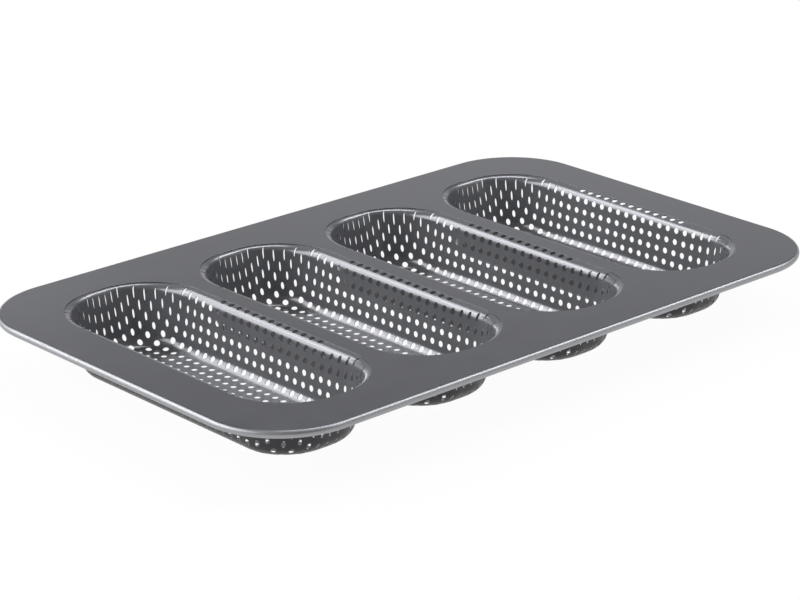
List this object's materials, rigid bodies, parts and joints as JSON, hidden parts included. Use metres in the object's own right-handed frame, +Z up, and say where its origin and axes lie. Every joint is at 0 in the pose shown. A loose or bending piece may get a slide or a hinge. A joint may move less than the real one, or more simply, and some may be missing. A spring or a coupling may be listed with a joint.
{
  "type": "mini baguette pan",
  "caption": "Flat coated-steel baking pan with rounded corners and a wired rim, holding parallel perforated round-ended troughs that shape and brown small baguettes.",
  "frame": {"origin": "under the middle of the pan, on the plane that the mould floors stand on", "axes": "+X along the pan's long side, from mould to mould; +Y along the moulds; +Z up, out of their mouths"},
  "size_m": [0.39, 0.242, 0.0323],
  "materials": {
    "coated_deck": "satin grey non-stick coating on sheet steel",
    "coated_mould": "semi-gloss grey non-stick coating on perforated sheet steel",
    "rim_wire": "plain drawn steel wire"
  },
  "bodies": {
    "root": {"deck_plate": "coated_deck", "rim_wire": "rim_wire", "mould_1": "coated_mould", "mould_2": "coated_mould", "mould_3": "coated_mould", "mould_4": "coated_mould"}
  },
  "joints": []
}
